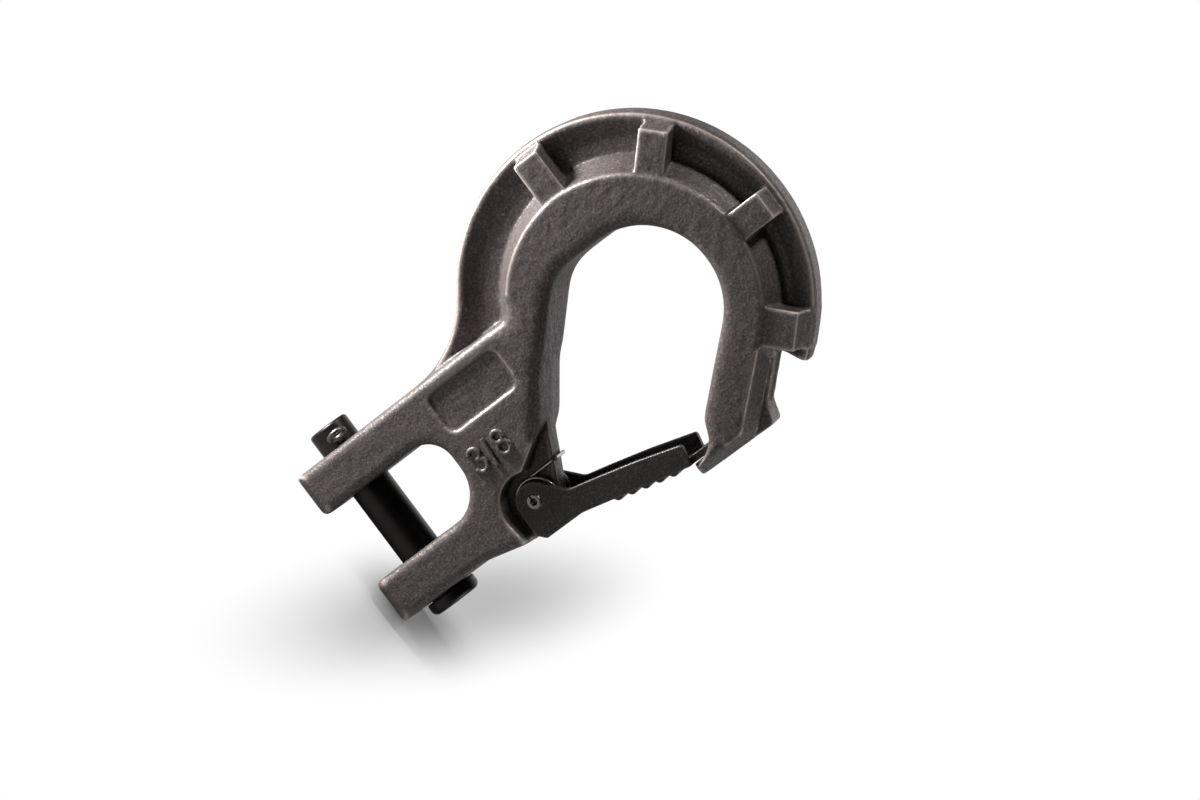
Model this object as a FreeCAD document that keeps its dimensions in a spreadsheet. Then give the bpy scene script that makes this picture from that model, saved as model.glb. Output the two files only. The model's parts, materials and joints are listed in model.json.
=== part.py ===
"""Clevis slip hook for a winch line, with a sprung safety latch.

Forged hook body, headed clevis pin with its split cotter, channel latch, hollow pivot pin and
double torsion spring. Millimetres. The origin is the centre of the clevis pin, +Z runs along the
line of pull up to the bow, +X along the clevis pin towards its head and the latch, Y is the
thickness, with the front face at -Y.
"""
import FreeCAD, Part
import math
import os
import re

import Sketcher
from FreeCAD import Placement, Rotation, Vector

SIZES = [
    # Clevis fork and shank
    ("pin_diameter", 12.7, "clevis pin"),
    ("pin_play", 0.08, "radial play of the clevis pin in the ears"),
    ("clevis_gap", 24.4, "clear width between the ears"),
    ("ear_wall", 14.4, "thickness of one ear at the parting line"),
    ("ear_end", 16.4, "round of the ear ends about the pin"),
    ("ear_corner", 3.2, "corner of the ear ends seen from the front"),
    ("fork_edge", 2.6, "round of the fork's edges"),
    ("ear_end_edge", 2.0, "round of the ear ends' side edges"),
    ("ring_edge", 1.4, "round of the ring's outer edge"),
    ("gap_floor", 30.2, "height of the clevis gap above the pin"),
    ("gap_corner_head", 12.0, "corner of the gap on the head side"),
    ("gap_corner_tail", 8.5, "corner of the gap on the cotter side"),
    ("body_thick", 25.4, "thickness of shank and bow"),
    ("fork_draft", 3.0, "forging draft of fork and shank, degrees"),
    ("flare_start", 18.5, "where the shank starts to flare towards the latch"),
    ("flare_round", 14.0, "round of that flare"),
    ("flare_reach", 29.8, "reach of the flare under the latch heel"),
    ("flare_top", 35.5, "top of the flare, Z"),
    ("flare_edge", 3.0, "height of the flare's outer edge"),
    # Throat
    ("throat_radius", 22.3, "inside of the bow"),
    ("throat_side", -5.1, "centre of the bow's inside, X"),
    ("throat_height", 104.6, "centre of the bow's inside, Z"),
    ("back_corner_drop", 16.9, "turn of the throat's back wall below that centre"),
    ("back_corner_round", 16.0, "round of that turn"),
    ("wall_foot_side", -9.0, "foot of the throat's slope towards the tongue, X"),
    ("wall_foot_height", 68.8, "foot of the throat's slope towards the tongue, Z"),
    ("wall_foot_round", 12.0, "round of that foot"),
    ("leg_slope", 40.8, "slope of the nose leg's inner normal, degrees"),
    # Bow: bearing ring, web and outer rim
    ("ring_side", -7.0, "centre of the bearing ring, X"),
    ("ring_drop", 2.6, "centre of the bearing ring below the throat's"),
    ("ring_radius", 37.2, "outer edge of the bearing ring's face"),
    ("ring_foot", 41.8, "foot of the ring's drafted wall"),
    ("ring_lap", 12.0, "the ring runs on into the nose leg, degrees"),
    ("ring_end", 250.0, "angle at which the ring ends inside the shank, degrees"),
    ("web_thick", 6.0, "web between ring and rim"),
    ("rim_side", -9.0, "centre of the rim, X"),
    ("rim_drop", 3.6, "centre of the rim below the throat's"),
    ("rim_radius", 52.8, "outside of the rim"),
    ("rim_crest", 2.4, "width of the rim's crest"),
    ("rim_slope", 4.6, "width of the rim's inner slope"),
    ("rim_thick", 10.4, "thickness of the rim"),
    ("rim_edge", 2.0, "bevel of the rim's outer edge, along the thickness"),
    ("rim_edge_width", 0.7, "bevel of the rim's outer edge, inwards"),
    ("rim_end", 34.0, "angle at which the rim ends above the nose, degrees"),
    ("corner_round", 34.0, "hollow corner between shank and rim"),
    # Ribs of the bow
    ("rib_width", 8.6, "width of the ribs"),
    ("nose_rib_width", 11.4, "width of the rib nearest the nose"),
    ("rib_pitch", 45.0, "angle between ribs, degrees"),
    ("rib_top", 23.4, "thickness over the ribs at the ring"),
    ("rib_foot", 12.4, "thickness over the ribs at the rim"),
    ("rib_shelf", 3.2, "level top of a rib outside the ring"),
    # Nose
    ("leg_draft", 20.0, "draft of the nose leg, degrees"),
    ("leg_width", 11.9, "width of the nose leg's face"),
    ("nose_face", 43.3, "outer face of the nose, X"),
    ("nose_bevel", 3.3, "set back of the face's edge at the nose"),
    ("nose_tip", 84.2, "lowest point of the nose"),
    ("lip_wall", 4.0, "wall that the latch tab rests on"),
    ("lip_height", 6.6, "height of the lip's inner face above the nose tip"),
    ("cheek_inset", 7.2, "inner corner of the nose cheeks, from the nose face"),
    ("cheek_height", 11.4, "inner corner of the nose cheeks, above the nose tip"),
    ("step_inset", 13.1, "foot of the nose leg's inner line, from the nose face"),
    ("nose_round", 2.0, "rounds of the nose's inner line"),
    ("nose_corner", 2.5, "corner of the nose's tip"),
    ("leg_corner", 5.0, "corner between the nose's face and the leg"),
    ("spur_height", 112.2, "point of the spur beside the nose, Z"),
    ("spur_inset", 5.9, "set back of the web's edge above the spur"),
    ("spur_rise", 1.9, "height of that edge's foot above the spur"),
    ("spur_round", 1.1, "round of the spur's point"),
    ("strip_end_side", 27.0, "where the web's edge meets the last rib, X"),
    ("strip_end_height", 125.7, "where the web's edge meets the last rib, Z"),
    ("bead_width", 2.0, "bead along the web's free edge"),
    ("bead_thick", 9.0, "thickness over that bead"),
    # Latch seat
    ("pivot_side", 20.6, "latch pivot, X"),
    ("pivot_height", 41.8, "latch pivot, Z"),
    ("tongue_thick", 8.6, "tongue between the latch cheeks"),
    ("tongue_slope", 62.0, "direction of the tongue's edge over the pivot, degrees from +X"),
    ("tongue_run", 14.6, "from the pivot to the end of the tongue's edge, X"),
    ("tongue_rise", 14.9, "from the pivot to the end of the tongue's edge, Z"),
    ("tongue_round", 30.0, "round at that end"),
    ("lug_radius", 6.3, "round of the tongue about the pivot"),
    ("seat_radius", 9.4, "pocket round the latch boss"),
    ("seat_angle", 121.0, "direction of the pocket's wall, degrees"),
    ("seat_gap", 5.9, "pocket wall from the pivot"),
    ("seat_foot", -84.0, "direction of the pocket's lowest point, degrees"),
    ("seat_step", 1.2, "pocket floor below the top of the flare"),
    # Latch
    ("latch_width", 19.5, "outside width of the latch channel"),
    ("latch_sheet", 2.2, "wall of the latch"),
    ("boss_radius", 5.6, "round of the latch cheeks about the pivot"),
    ("boss_start", 133.0, "direction where that round starts, degrees"),
    ("boss_end", 268.0, "direction where that round ends, degrees"),
    ("heel_depth", 5.8, "heel below the pivot"),
    ("heel_reach", 8.3, "heel outwards from the pivot"),
    ("thumb_reach", 10.7, "thumb face outwards from the pivot"),
    ("thumb_start", 9.8, "height of the thumb face's foot above the pivot"),
    ("latch_end", 44.6, "end of the channel above the pivot"),
    ("latch_end_width", 6.5, "depth of the cheeks at the channel's end"),
    ("cheek_slant", 1.4, "rise of the cheeks' ends towards the throat"),
    ("cheek_upper_side", 7.7, "upper bend of the cheeks' edge, outwards from the pivot"),
    ("cheek_upper_height", 31.2, "upper bend of the cheeks' edge, above the pivot"),
    ("cheek_middle_side", 4.6, "middle bend of the cheeks' edge, outwards from the pivot"),
    ("cheek_middle_height", 18.2, "middle bend of the cheeks' edge, above the pivot"),
    ("cheek_lower_side", 2.9, "lower bend of the cheeks' edge, outwards from the pivot"),
    ("cheek_lower_height", 10.4, "lower bend of the cheeks' edge, above the pivot"),
    ("cheek_upper_round", 40.0, "round of the upper bend"),
    ("cheek_middle_round", 14.0, "round of the middle bend"),
    ("cheek_lower_round", 4.0, "round of the lower bend"),
    ("thumb_round", 8.0, "bend of the thumb face above the heel"),
    ("heel_bevel", 2.3, "height of the heel's slanted edge"),
    ("latch_corner", 1.0, "sheared corners of the latch"),
    ("tab_width", 9.6, "width of the tip tab"),
    ("tab_length", 6.4, "tip tab beyond the channel"),
    ("latch_gap", 0.35, "gap between tip tab and nose lip"),
    ("side_gap", 0.6, "gap beside the tip tab in the nose slot"),
    ("swing_gap", 0.8, "gap over the tip tab as it swings"),
    ("grip_teeth", 5, "thumb serrations"),
    ("grip_pitch", 4.5, "spacing of the serrations"),
    ("grip_round", 1.7, "radius of one serration"),
    ("grip_sunk", 0.7, "depth of a serration's centre below the thumb face"),
    ("grip_start", 21.6, "height of the first serration above the pivot"),
    ("grip_margin", 0.6, "serrations end this far inside the latch's sides"),
    # Pivot pin
    ("pivot_pin_radius", 2.3, "outside of the hollow pivot pin"),
    ("pivot_pin_wall", 1.2, "wall of the hollow pivot pin"),
    ("pivot_pin_proud", 0.3, "pivot pin beyond each cheek"),
    ("pivot_pin_slit", 0.6, "slit of the hollow pivot pin"),
    ("press_play", 0.02, "radial play of the pivot pin in the cheeks"),
    ("turn_play", 0.08, "radial play of the pivot pin in the tongue"),
    # Spring
    ("wire_diameter", 1.1, "spring wire"),
    ("coil_radius", 6.2, "centre line of the spring coils"),
    ("coil_gap", 0.2, "gap between coil and tongue"),
    ("coil_pitch", 1.15, "pitch of the spring coils"),
    ("bridge_side", 14.2, "bridge of the spring over the tongue, X"),
    ("bridge_gap", 0.1, "gap between the bridge and the tongue's edge"),
    ("bridge_bend", 1.4, "bend from the bridge into the spring's legs"),
    ("ease_radius", 20.0, "slight bend of the wire where it leaves a coil"),
    ("spring_leg", 14.0, "spring leg that bears on the latch"),
    ("spring_lean", 8.8, "lean of that leg towards the latch, degrees"),
    # Clevis pin and cotter
    ("head_radius", 8.2, "head of the clevis pin"),
    ("head_thick", 4.0, "thickness of that head"),
    ("head_edge", 2.0, "round of the head's rim"),
    ("head_gap", 0.1, "play between head and ear"),
    ("pin_tail", 6.8, "clevis pin beyond the ear on the cotter side"),
    ("pin_edge", 1.0, "rounding of the pin's ends"),
    ("pin_turn", 28.0, "turn of pin and cotter, which lifts the cotter's eye, degrees"),
    ("cotter_inset", 5.3, "cotter hole from the pin's end"),
    ("cotter_diameter", 2.4, "cotter shank"),
    ("cotter_play", 0.15, "radial play of the cotter in its hole"),
    ("cotter_neck", 0.9, "cotter shank beyond the pin on the eye's side"),
    ("eye_radius", 2.6, "centre line of the cotter's eye"),
    ("eye_wire", 1.4, "thickness of the eye's wire"),
    ("eye_tilt", 20.0, "tilt of the eye away from the ear, degrees"),
    ("leg_run", 0.8, "straight run of the cotter's legs out of the hole"),
    ("leg_bend", 2.2, "bend of the cotter's legs"),
    ("leg_spread", 78.0, "turn of that bend, degrees"),
    ("leg_length", 2.6, "bent part of the cotter's legs"),
    # Recessed panel on the front of the shank
    ("panel_depth", 0.9, "depth of the panel"),
    ("panel_side", -22.0, "panel edge on the cotter side, X"),
    ("panel_width", 13.4, "width of the panel"),
    ("panel_foot", 35.0, "lower edge of the panel, Z"),
    ("panel_length", 26.0, "length of the panel"),
    ("panel_corner", 3.0, "corner of the panel"),
]
FREE_REACH = 60.0  # cutting outlines run this far past the forging
RING_CORE = 16.0   # the ring is solid inwards to here before the throat is cut
BITE = 9.0         # forms of one forging run this far into each other
RIBS = 4           # ribs across the bow's web
TURNS = 2          # turns of each spring coil, less the lean of its leg
NEAR = 0.001       # how far an edge may lie off the place it is looked for

doc = FreeCAD.newDocument("winch_hook")
sheet = doc.addObject("Spreadsheet::Sheet", "Sizes")
for row, (alias, number, meaning) in enumerate(SIZES, 1):
    sheet.set("A%d" % row, alias.replace("_", " "))
    sheet.set("B%d" % row, str(number))
    sheet.set("C%d" % row, meaning)
    sheet.setAlias("B%d" % row, alias)
doc.recompute()

SIZE_WORD = re.compile(r"\b(" + "|".join(alias for alias, _, _ in SIZES) + r")\b")


def bound(text):
    """The expression that reads the named sizes in text from the sheet."""
    return SIZE_WORD.sub(r"Sizes.\1", str(text))


def value(text):
    """The present value of such an expression."""
    return float(sheet.evalExpression(bound(text)))


def polar(centre, radius, angle):
    """Expressions for the point at radius and angle (degrees) about centre."""
    return ("(%s) + (%s) * cos(%s)" % (centre[0], radius, angle),
            "(%s) + (%s) * sin(%s)" % (centre[1], radius, angle))


def new_body(label):
    body = doc.addObject("PartDesign::Body", label)
    body.Label = label
    return body


def new_sketch(body, name, plane="XZ_Plane", offset=None):
    """A sketch on one of the body's origin planes; on XZ_Plane its x is X and its y is Z."""
    sketch = body.newObject("Sketcher::SketchObject", name)
    support = [f for f in body.Origin.OriginFeatures if f.Role == plane][0]
    sketch.AttachmentSupport = [(support, "")]
    sketch.MapMode = "FlatFace"
    if offset:
        sketch.AttachmentOffset = offset
    return sketch


def place_point(sketch, geo, position, corner):
    """Tie one point of the sketch to its pair of expressions."""
    for kind, text in (("DistanceX", corner[0]), ("DistanceY", corner[1])):
        index = sketch.addConstraint(Sketcher.Constraint(kind, -1, 1, geo, position, value(text)))
        if SIZE_WORD.search(str(text)):
            sketch.setExpression("Constraints[%d]" % index, bound(text))


def set_radius(sketch, geo, text):
    index = sketch.addConstraint(Sketcher.Constraint("Radius", geo, abs(value(text))))
    if SIZE_WORD.search(str(text)):
        sketch.setExpression("Constraints[%d]" % index, bound("abs(%s)" % text))


def arc_piece(centre, start, end, left):
    """An arc about centre from start to end, drawn anticlockwise as sketches keep it."""
    first, last = (start, end) if left else (end, start)
    angles = [math.atan2(p.y - centre.y, p.x - centre.x) for p in (first, last)]
    round_piece = Part.Circle(centre, Vector(0, 0, 1), (start - centre).Length)
    return Part.ArcOfCircle(round_piece, angles[0], angles[1])


def bend_centre(start, end, radius):
    """Centre of the short arc from start to end: radius above 0 turns left, below 0 right."""
    chord = end - start
    rise = math.sqrt(max(radius * radius - chord.Length ** 2 / 4, 0.0))
    left = Vector(-chord.y, chord.x, 0).normalize()
    return (start + end) * 0.5 + left * math.copysign(rise, radius)


def outline(sketch, corners):
    """Draw a closed outline. A corner is (x, y), (x, y, round) or (x, y, 0, bend).

    Round is the radius of a tangent arc at a corner between two straight edges. Bend makes the
    edge that leaves the corner an arc of that radius, to the left if above 0.
    """
    corners = [tuple(c) + (0,) * (4 - len(c)) for c in corners]
    count = len(corners)
    points = [Vector(value(c[0]), value(c[1]), 0) for c in corners]
    leave, reach, arcs = {}, {}, {}
    for i, corner in enumerate(corners):
        here, before, after = points[i], points[i - 1], points[(i + 1) % count]
        radius = value(corner[2])
        if not radius:
            leave[i] = reach[i] = here
            continue
        back = (before - here).normalize()
        on = (after - here).normalize()
        half = back.getAngle(on) / 2
        reach[i] = here + back * (radius / math.tan(half))
        leave[i] = here + on * (radius / math.tan(half))
        centre = here + (back + on).normalize() * (radius / math.sin(half))
        turns_left = back.cross(on).z < 0
        arcs[i] = (arc_piece(centre, reach[i], leave[i], turns_left), turns_left)
    edges, ends = {}, {}
    for i, corner in enumerate(corners):
        end = reach[(i + 1) % count]
        bend = value(corner[3])
        if bend:
            centre = bend_centre(leave[i], end, bend)
            edges[i] = sketch.addGeometry(arc_piece(centre, leave[i], end, bend > 0))
        else:
            edges[i] = sketch.addGeometry(Part.LineSegment(leave[i], end))
        ends[i] = (2, 1) if bend < 0 else (1, 2)
    for i, corner in enumerate(corners):
        last = (i - 1) % count
        if i not in arcs:
            sketch.addConstraint(Sketcher.Constraint("Coincident", edges[last], ends[last][1],
                                                   edges[i], ends[i][0]))
            place_point(sketch, edges[i], ends[i][0], corner)
            continue
        bow = sketch.addGeometry(arcs[i][0])
        first, second = (1, 2) if arcs[i][1] else (2, 1)
        sketch.addConstraint(Sketcher.Constraint("Tangent", edges[last], ends[last][1], bow, first))
        sketch.addConstraint(Sketcher.Constraint("Tangent", bow, second, edges[i], ends[i][0]))
        set_radius(sketch, bow, corner[2])
        mark = sketch.addGeometry(Part.Point(points[i]), True)
        place_point(sketch, mark, 1, corner)
        sketch.addConstraint(Sketcher.Constraint("PointOnObject", mark, 1, edges[last]))
        sketch.addConstraint(Sketcher.Constraint("PointOnObject", mark, 1, edges[i]))
    for i, corner in enumerate(corners):
        bend = value(corner[3])
        chord = (reach[(i + 1) % count] - leave[i]).Length
        if bend and abs(chord - 2 * abs(bend)) < 1e-6:
            # A half circle already has its radius, so its centre is tied to its ends.
            sketch.addConstraint(Sketcher.Constraint("Symmetric", edges[i], 1, edges[i], 2,
                                                     edges[i], 3))
        elif bend:
            set_radius(sketch, edges[i], corner[3])
    return sketch


def circle(sketch, centre, radius):
    geo = sketch.addGeometry(Part.Circle(Vector(value(centre[0]), value(centre[1]), 0),
                                         Vector(0, 0, 1), value(radius)))
    place_point(sketch, geo, 3, centre)
    set_radius(sketch, geo, radius)
    return sketch


def pad(body, sketch, length, draft=None):
    """Pad the sketch to both sides of its plane; draft narrows it away from the plane."""
    feature = body.newObject("PartDesign::Pad", sketch.Label + "_pad")
    feature.Profile = sketch
    if draft is None:
        feature.SideType = "Symmetric"
        feature.setExpression("Length", bound(length))
    else:
        feature.SideType = "Two sides"
        for side in ("", "2"):
            feature.setExpression("Length" + side, bound("(%s) / 2" % length))
            feature.setExpression("TaperAngle" + side, bound("-(%s)" % draft))
    return settle(body, feature, 1)


def pocket(body, sketch, length=None, one_side=False, reverse=False):
    """Pocket the sketch to both sides, or to one side of its plane, or through all."""
    feature = body.newObject("PartDesign::Pocket", sketch.Label + "_pocket")
    feature.Profile = sketch
    feature.Reversed = reverse
    if length is None:
        feature.Type = "ThroughAll"
        feature.SideType = "Symmetric"
    else:
        feature.SideType = "One side" if one_side else "Symmetric"
        feature.setExpression("Length", bound(length))
    return settle(body, feature, -1)


def revolve(body, sketch, axis="V_Axis", angle=None):
    """Turn the sketch all the way round, or by an angle, half of it to each side."""
    feature = body.newObject("PartDesign::Revolution", sketch.Label + "_turn")
    feature.Profile = sketch
    feature.ReferenceAxis = (sketch, [axis])
    if angle is None:
        feature.Angle = 360
    else:
        feature.Midplane = True
        feature.setExpression("Angle", bound(angle))
    return settle(body, feature, 1)


def round_edges(body, name, radius, wanted):
    """Round those edges of the body's present shape whose bounding box and curve are wanted."""
    base = body.Tip
    feature = body.newObject("PartDesign::Fillet", name)
    feature.Base = (base, ["Edge%d" % number for number, edge in enumerate(base.Shape.Edges, 1)
                           if wanted(edge.BoundBox, edge.Curve)])
    feature.setExpression("Radius", bound(radius))
    return settle(body, feature, -1)


def on_faces(box):
    """Whether an edge with that bounding box lies in the front or the back face."""
    return abs(abs(box.Center.y) - value("body_thick / 2")) + box.YLength < NEAR


def settle(body, feature, sign):
    """Recompute and stop if the feature failed or changed nothing."""
    before = body.Tip.Shape.Volume if body.Tip and body.Tip is not feature else 0.0
    if body.Tip is feature and feature.BaseFeature:
        before = feature.BaseFeature.Shape.Volume
    body.Tip = feature
    doc.recompute()
    if "Invalid" in feature.State or "Error" in feature.State or feature.Shape.isNull():
        raise RuntimeError("%s failed: %s" % (feature.Label, feature.getStatusString()))
    change = feature.Shape.Volume - before
    if change * sign <= 0:
        raise RuntimeError("%s changed nothing (%.3f)" % (feature.Label, change))
    return feature


def radial_plane(side, height, angle):
    """Sketch offset on XZ_Plane: x runs outwards from the bow's centre at angle, y along Y."""
    turn = Rotation(Vector(0, 0, 1), angle) * Rotation(Vector(1, 0, 0), 90)
    return Placement(Vector(value(side), value(height), 0), turn)


PIVOT = ("pivot_side", "pivot_height")
RING = ("ring_side", "throat_height - ring_drop")
RIM = ("rim_side", "throat_height - rim_drop")
THROAT = ("throat_side", "throat_height")
EAR = "(clevis_gap / 2 + ear_wall)"
PIN_END = "-(%s + pin_tail)" % EAR
COTTER = "(cotter_inset - %s - pin_tail)" % EAR
# The hollow corner between shank and rim is tangent to both.
CORNER = ("-(%s + corner_round)" % EAR,
          "%s - sqrt((rim_radius + corner_round)^2 - (%s + corner_round + rim_side)^2)" % (RIM[1], EAR))


def both_faces(half):
    """Corners of a section that is alike on both faces, from those of its back half."""
    return [(x, "-(%s)" % y) for x, y in half] + half[::-1]


def bow_web_and_rim(body):
    """Web and raised rim: one section turned about the rim's centre."""
    low = value("rim_end")
    across = value("-(%s) + rim_side" % CORNER[0])
    drop = value("%s - (%s)" % (RIM[1], CORNER[1]))
    high = 180 + math.degrees(math.atan2(drop, across))
    sketch = new_sketch(body, "rim_section",
                        offset=radial_plane(RIM[0], RIM[1], (low + high) / 2))
    slope_foot = "rim_radius - rim_crest - rim_slope"
    outline(sketch, both_faces([
        ("ring_radius - %g" % BITE, "web_thick / 2"),
        (slope_foot, "web_thick / 2"),
        ("rim_radius - rim_crest", "rim_thick / 2"),
        ("rim_radius - rim_edge_width", "rim_thick / 2"),
        ("rim_radius", "rim_thick / 2 - rim_edge")]))
    revolve(body, sketch, angle=high - low)


def bow_ring(body):
    """Bearing ring with its drafted wall, from the nose leg round into the shank."""
    low = "(leg_slope - ring_lap)"
    sketch = new_sketch(body, "ring_section",
                        offset=radial_plane(RING[0], RING[1], value("(%s + ring_end) / 2" % low)))
    outline(sketch, both_faces([
        (RING_CORE, "body_thick / 2"),
        ("ring_radius", "body_thick / 2"),
        ("ring_foot", "web_thick / 2")]))
    revolve(body, sketch, angle="ring_end - %s" % low)


def hollow_corner(body):
    """Web and rim carried round the hollow corner into the shank."""
    lean = "atan((%s - (%s)) / (%s - (%s)))" % (RIM[1], CORNER[1], RIM[0], CORNER[0])
    on_rim = polar(RIM, "rim_radius", "180 deg + " + lean)
    web = new_sketch(body, "corner_web")
    inside = "-%s + %g" % (EAR, BITE)
    above = "%s - %g" % (RIM[1], FREE_REACH / 2)
    outline(web, [(inside, CORNER[1]),
                  (inside, above),
                  (on_rim[0], above),
                  (on_rim[0], on_rim[1], 0, "-corner_round"),
                  ("-%s" % EAR, CORNER[1])])
    pad(body, web, "web_thick")
    sweep = value(lean)
    rim = new_sketch(body, "corner_rim", offset=radial_plane(CORNER[0], CORNER[1], sweep / 2))
    outline(rim, both_faces([
        ("corner_round", "rim_thick / 2 - rim_edge"),
        ("corner_round + rim_edge_width", "rim_thick / 2"),
        ("corner_round + rim_crest", "rim_thick / 2"),
        ("corner_round + rim_crest + rim_slope", "web_thick / 2")]))
    revolve(body, rim, angle=sweep)


def fork(body):
    """Shank, both ears and the tongue, in one drafted outline."""
    sketch = new_sketch(body, "fork_outline")
    outline(sketch, [
        (EAR, "-ear_end", "ear_corner"),
        (EAR, "flare_start", "flare_round"),
        ("flare_reach", "flare_top - flare_edge"),
        ("pivot_side + lug_radius", "flare_top"),
        ("pivot_side + lug_radius", "pivot_height + lug_radius * tan(tongue_slope / 2)", "lug_radius"),
        ("pivot_side - tongue_run", "pivot_height + tongue_rise", "tongue_round"),
        ("wall_foot_side", "wall_foot_height", "wall_foot_round"),
        ("-%s" % EAR, "throat_height - back_corner_drop + %g" % BITE),
        ("-%s" % EAR, "-ear_end", "ear_corner")])
    pad(body, sketch, "body_thick", "fork_draft")


def nose_leg(body):
    """Nose leg, drafted on its outer side down to the web."""
    sketch = new_sketch(body, "leg_outline")
    spread = "body_thick / 2 * tan(leg_draft)"
    slope = "leg_slope"
    outer = "throat_radius + leg_width + %s" % spread
    top = polar(THROAT, outer, slope)
    face = "nose_face - nose_bevel + %s" % spread
    side = "(%s) + ((%s) - (%s)) * -1 / tan(%s)" % (top[1], face, top[0], slope)
    inner_top = polar(THROAT, "throat_radius - %g" % BITE, slope)
    outline(sketch, [
        (face, "nose_tip", "nose_corner"),
        (face, side, "leg_corner"),
        top,
        inner_top,
        ("nose_face - 2 * %g" % BITE, "nose_tip")])
    pad(body, sketch, "body_thick", "leg_draft")


def nose_web(body):
    """Web beside the nose leg, the spur and the bead along their free edge."""
    edge = [("nose_face", "nose_tip + %g" % BITE),
            ("nose_face", "spur_height", "spur_round"),
            ("nose_face - spur_inset", "spur_height + spur_rise"),
            ("strip_end_side", "strip_end_height")]
    web = new_sketch(body, "nose_web")
    outline(web, edge + [("strip_end_side - %g" % BITE, "strip_end_height - %g" % BITE),
                         ("nose_face - step_inset", "nose_tip + 2 * %g" % BITE)])
    pad(body, web, "web_thick")
    bead = new_sketch(body, "nose_bead")
    slant = "bead_width * sqrt(0.5)"
    outline(bead, edge + [
        ("strip_end_side - %s" % slant, "strip_end_height - %s" % slant),
        ("nose_face - spur_inset - %s" % slant, "spur_height + spur_rise - 2 * %s" % slant),
        ("nose_face - 2 * %s" % slant, "spur_height - spur_rise - %s" % slant),
        ("nose_face - 2 * %s" % slant, "nose_tip + %g" % BITE)])
    pad(body, bead, "bead_thick")


def ribs(body):
    """Ribs stand across the web between ring and rim; the last, by the nose, is wider."""
    for number in range(RIBS):
        angle = 180 - number * value("rib_pitch")
        sketch = new_sketch(body, "rib_%d" % (number + 1),
                            offset=radial_plane(RING[0], RING[1], angle))
        outline(sketch, both_faces([
            ("ring_radius - %g" % BITE, "rib_top / 2"),
            ("ring_radius + rib_shelf", "rib_top / 2"),
            ("rim_radius - rim_crest - rib_shelf / 2", "rib_foot / 2"),
            ("rim_radius - rim_crest", "rim_thick / 2 - rim_edge / 2")]))
        pad(body, sketch, "nose_rib_width" if number == RIBS - 1 else "rib_width")


def throat(body):
    """The opening of the bow, right through."""
    sketch = new_sketch(body, "throat_outline")
    leg_top = polar(THROAT, "throat_radius", "leg_slope")
    step = "nose_face - step_inset"
    lip = "nose_face - lip_wall"
    wall = "throat_side - throat_radius"
    outline(sketch, [
        ("wall_foot_side", "wall_foot_height"),
        ("pivot_side - tongue_run", "pivot_height + tongue_rise + %g" % BITE),
        (lip, "nose_tip - %g" % BITE),
        (lip, "nose_tip + lip_height"),
        ("nose_face - cheek_inset", "nose_tip + cheek_height", "nose_round"),
        (step, "%s - (%s - (%s)) / tan(leg_slope)" % (leg_top[1], step, leg_top[0]), "nose_round"),
        (leg_top[0], leg_top[1], 0, "throat_radius"),
        (wall, "throat_height"),
        (wall, "throat_height - back_corner_drop", "back_corner_round")])
    return pocket(body, sketch)


def clevis_slot(body):
    """The gap between the ears, rounded at its floor, and the round ear ends."""
    slot = new_sketch(body, "clevis_gap_outline")
    outline(slot, [
        ("-clevis_gap / 2", -FREE_REACH),
        ("clevis_gap / 2", -FREE_REACH),
        ("clevis_gap / 2", "gap_floor", "gap_corner_head"),
        ("-clevis_gap / 2", "gap_floor", "gap_corner_tail")])
    pocket(body, slot)
    ends = new_sketch(body, "ear_end_outline", "YZ_Plane")
    half = "body_thick / 2 + ear_corner / 2"
    rise = "-sqrt(ear_end^2 - (%s)^2)" % half
    outline(ends, [
        ("-(%s)" % half, rise, 0, "ear_end"),
        (half, rise),
        (half, -FREE_REACH),
        ("-(%s)" % half, -FREE_REACH)])
    pocket(body, ends)
    hole = new_sketch(body, "clevis_pin_hole", "YZ_Plane")
    circle(hole, (0, 0), "pin_diameter / 2 + pin_play")
    pocket(body, hole)


def latch_seat(body):
    """Both faces are cut back round the latch, which leaves the tongue, bored for the pivot."""
    wall = polar(PIVOT, "seat_gap", "seat_angle + 90")
    low = polar(PIVOT, "seat_radius", "seat_foot")
    up = polar(wall, FREE_REACH / 2, "seat_angle")
    join = polar(PIVOT, "seat_radius", "(seat_angle + 90) * 1 deg - acos(seat_gap / seat_radius)")
    for name, front in (("front", True), ("back", False)):
        sketch = new_sketch(body, "latch_seat_" + name, offset=seat_plane(front))
        outline(sketch, [
            (join[0], join[1], 0, "seat_radius"),
            low,
            ("flare_reach + %g" % BITE, "flare_top - seat_step"),
            ("flare_reach + %g" % BITE, up[1]),
            up])
        pocket(body, sketch, "body_thick", one_side=True, reverse=front)
    hole = new_sketch(body, "pivot_hole")
    circle(hole, PIVOT, "pivot_pin_radius + turn_play")
    pocket(body, hole)


def seat_plane(front):
    """Plane of the tongue's front or back face, from the middle plane."""
    shift = value("tongue_thick / 2")
    return Placement(Vector(0, 0, shift if front else -shift), Rotation())


def nose_slot(body):
    """Slot between the nose cheeks for the latch tab, and the flat outer face of the nose."""
    sketch = new_sketch(body, "nose_slot_outline")
    lip = "nose_face - lip_wall"
    reach = "sqrt((latch_end + tab_length)^2 + (%s - pivot_side)^2) + swing_gap" % lip
    outline(sketch, [
        (lip, "nose_tip - %g" % BITE),
        (lip, "pivot_height + sqrt((%s)^2 - (%s - pivot_side)^2)" % (reach, lip), 0, reach),
        ("pivot_side", "pivot_height + %s" % reach),
        ("pivot_side", "nose_tip - %g" % BITE)])
    pocket(body, sketch, "tab_width + 2 * side_gap")
    face = new_sketch(body, "nose_face_trim")
    outline(face, [
        ("nose_face", "nose_tip - %g" % BITE),
        ("nose_face + %g" % BITE, "nose_tip - %g" % BITE),
        ("nose_face + %g" % BITE, "spur_height - spur_round"),
        ("nose_face", "spur_height - spur_round")])
    pocket(body, face)


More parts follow.
